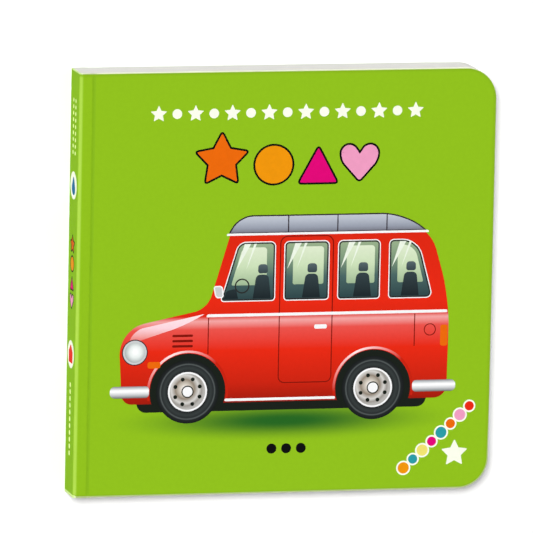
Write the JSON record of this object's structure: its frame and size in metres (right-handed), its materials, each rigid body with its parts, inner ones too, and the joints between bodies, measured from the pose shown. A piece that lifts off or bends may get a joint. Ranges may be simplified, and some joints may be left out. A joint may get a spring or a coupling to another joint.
{
  "type": "baby board book",
  "caption": "Square thick-card book for a small child, closed and lying flat, with rounded fore-edge corners and two covers that open on creases beside the spine.",
  "frame": {"origin": "under the middle of the closed book, on the surface that its back cover lies on", "axes": "+X from the spine to the fore-edge, +Y from the tail to the head, +Z from the back cover to the front cover"},
  "size_m": [0.13, 0.13, 0.0131],
  "materials": {
    "page_card": "satin",
    "printed_card": "gloss"
  },
  "bodies": {
    "block": {"page_block": "page_card", "spine_wrap": "printed_card"},
    "front": {"front_cover": "printed_card"},
    "back": {"back_cover": "printed_card"}
  },
  "joints": [
    {"name": "front_hinge", "type": "hinge", "parent": "block", "child": "front", "pos_m": [-0.0606, 0, 0.01315], "axis": [0, -1, 0], "range_deg": [0, 179]},
    {"name": "back_hinge", "type": "hinge", "parent": "block", "child": "back", "pos_m": [-0.0606, 0, -0.0001], "axis": [0, 1, 0], "range_deg": [0, 179]}
  ]
}
